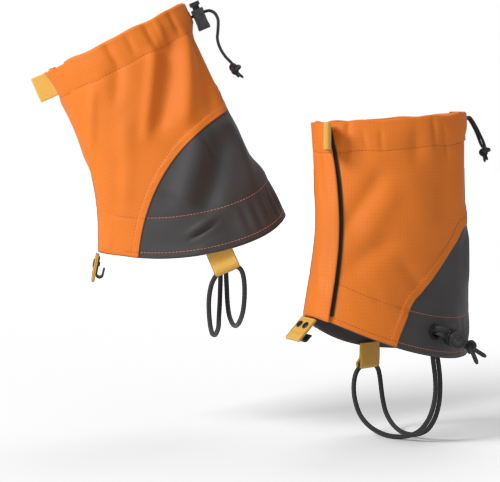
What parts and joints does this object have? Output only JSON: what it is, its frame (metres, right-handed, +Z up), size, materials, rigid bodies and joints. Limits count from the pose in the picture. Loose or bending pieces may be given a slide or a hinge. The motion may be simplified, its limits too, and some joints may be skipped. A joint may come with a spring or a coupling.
{
  "type": "pair of hiking gaiters",
  "caption": "Pair of low ankle gaiters: fabric sleeves with a front flap, drawcord collar, lace hook and a cord under the boot, standing as worn.",
  "frame": {"origin": "centre of the left gaiter at the lowest point of its hem, where the left boot is", "axes": "+Z up along the left leg, -Y towards the left toes, +X towards the outer side of the left leg"},
  "size_m": [0.3181, 0.3504, 0.4111],
  "materials": {
    "orange_ripstop": "ripstop nylon, water-repellent, slight sheen",
    "grey_taffeta": "tightly woven coated nylon, faint sheen",
    "hook_tape": "hook side of hook-and-loop tape",
    "loop_tape": "loop side of hook-and-loop tape",
    "black_cord": "braided polyester cord",
    "foot_cord": "heavy braided cord",
    "black_plastic": "moulded acetal",
    "eyelet_metal": "black lacquered eyelet",
    "spring_steel": "spring wire",
    "yellow_webbing": "woven polyester webbing",
    "hook_steel": "black lacquered steel",
    "rivet_black": "black lacquered rivet heads",
    "elastic": "woven elastic"
  },
  "bodies": {
    "left_shell": {"left_medial_panel": "orange_ripstop", "left_lateral_panel": "orange_ripstop", "left_rear_panel": "grey_taffeta", "left_loop_tape": "loop_tape", "left_collar_casing": "orange_ripstop", "left_drawcord": "black_cord", "left_drawcord_tails": "black_cord", "left_drawcord_knot": "black_cord", "left_collar_eyelet": "eyelet_metal", "left_foot_cord": "foot_cord", "left_foot_knot": "foot_cord", "left_foot_tab": "yellow_webbing", "left_foot_eyelet": "black_plastic", "left_hem_facing": "grey_taffeta", "left_hem_elastic": "elastic"},
    "left_flap": {"left_front_flap": "orange_ripstop", "left_hook_tape": "hook_tape", "left_pull_tab": "yellow_webbing"},
    "left_lace_tab": {"left_lace_tab": "yellow_webbing", "left_lace_hook": "hook_steel", "left_lace_rivets": "rivet_black"},
    "left_collar_lock": {"left_collar_lock_body": "black_plastic", "left_collar_lock_spring": "spring_steel"},
    "left_collar_button": {"left_collar_lock_plunger": "black_plastic"},
    "left_foot_lock": {"left_foot_lock_body": "black_plastic", "left_foot_lock_spring": "spring_steel"},
    "left_foot_button": {"left_foot_lock_plunger": "black_plastic"},
    "right_shell": {"right_medial_panel": "orange_ripstop", "right_lateral_panel": "orange_ripstop", "right_rear_panel": "grey_taffeta", "right_loop_tape": "loop_tape", "right_collar_casing": "orange_ripstop", "right_drawcord": "black_cord", "right_drawcord_tails": "black_cord", "right_drawcord_knot": "black_cord", "right_collar_eyelet": "eyelet_metal", "right_foot_cord": "foot_cord", "right_foot_knot": "foot_cord", "right_foot_tab": "yellow_webbing", "right_foot_eyelet": "black_plastic", "right_hem_facing": "grey_taffeta", "right_hem_elastic": "elastic"},
    "right_flap": {"right_front_flap": "orange_ripstop", "right_hook_tape": "hook_tape", "right_pull_tab": "yellow_webbing"},
    "right_lace_tab": {"right_lace_tab": "yellow_webbing", "right_lace_hook": "hook_steel", "right_lace_rivets": "rivet_black"},
    "right_collar_lock": {"right_collar_lock_body": "black_plastic", "right_collar_lock_spring": "spring_steel"},
    "right_collar_button": {"right_collar_lock_plunger": "black_plastic"},
    "right_foot_lock": {"right_foot_lock_body": "black_plastic", "right_foot_lock_spring": "spring_steel"},
    "right_foot_button": {"right_foot_lock_plunger": "black_plastic"}
  },
  "joints": [
    {"name": "left_flap_opens", "type": "hinge", "parent": "left_shell", "child": "left_flap", "pos_m": [-0.03937, -0.06928, 0.036], "axis": [0.0574, -0.1666, -0.9844], "range_deg": [0, 100]},
    {"name": "left_lace_tab_swings", "type": "hinge", "parent": "left_flap", "child": "left_lace_tab", "pos_m": [-0.00795, -0.09126, 0.045], "axis": [-0.9781, 0.2079, 0], "range_deg": [-20, 50]},
    {"name": "left_collar_lock_slides", "type": "slide", "parent": "left_shell", "child": "left_collar_lock", "axis": [-0.2605, 0.9655, 0], "range_m": [0, 0.0025]},
    {"name": "left_collar_button_presses", "type": "slide", "parent": "left_collar_lock", "child": "left_collar_button", "axis": [0, 0, -1], "range_m": [0, 0.003], "stiffness_N_per_m": 900, "springref_m": -0.002, "deforming": ["left_collar_lock_spring"]},
    {"name": "left_foot_lock_slides", "type": "slide", "parent": "left_shell", "child": "left_foot_lock", "axis": [-0.3794, -0.7951, 0.4731], "range_m": [0, 0.0016]},
    {"name": "left_foot_button_presses", "type": "slide", "parent": "left_foot_lock", "child": "left_foot_button", "axis": [-0.9023, 0.4311, 0], "range_m": [0, 0.002], "stiffness_N_per_m": 900, "springref_m": -0.002, "deforming": ["left_foot_lock_spring"]},
    {"name": "right_flap_opens", "type": "hinge", "parent": "right_shell", "child": "right_flap", "pos_m": [-0.15467, -0.19829, 0.09632], "axis": [-0.1992, -0.2118, 0.9568], "range_deg": [0, 100]},
    {"name": "right_lace_tab_swings", "type": "hinge", "parent": "right_flap", "child": "right_lace_tab", "pos_m": [-0.18974, -0.19861, 0.09766], "axis": [-0.829, 0.5592, 0], "range_deg": [-20, 50]},
    {"name": "right_collar_lock_slides", "type": "slide", "parent": "right_shell", "child": "right_collar_lock", "axis": [0.5147, 0.7631, 0.3907], "range_m": [0, 0.0025]},
    {"name": "right_collar_button_presses", "type": "slide", "parent": "right_collar_lock", "child": "right_collar_button", "axis": [0.2185, 0.3239, -0.9205], "range_m": [0, 0.003], "stiffness_N_per_m": 900, "springref_m": -0.002, "deforming": ["right_collar_lock_spring"]},
    {"name": "right_foot_lock_slides", "type": "slide", "parent": "right_shell", "child": "right_foot_lock", "axis": [-0.1981, -0.9722, 0.1248], "range_m": [0, 0.0016]},
    {"name": "right_foot_button_presses", "type": "slide", "parent": "right_foot_lock", "child": "right_foot_button", "axis": [0.9699, -0.1756, 0.1684], "range_m": [0, 0.002], "stiffness_N_per_m": 900, "springref_m": -0.002, "deforming": ["right_foot_lock_spring"]},
    {"name": "right_gaiter_apart", "type": "slide", "parent": "left_shell", "child": "right_shell", "axis": [-1, 0, 0], "range_m": [0, 0.0003]}
  ]
}
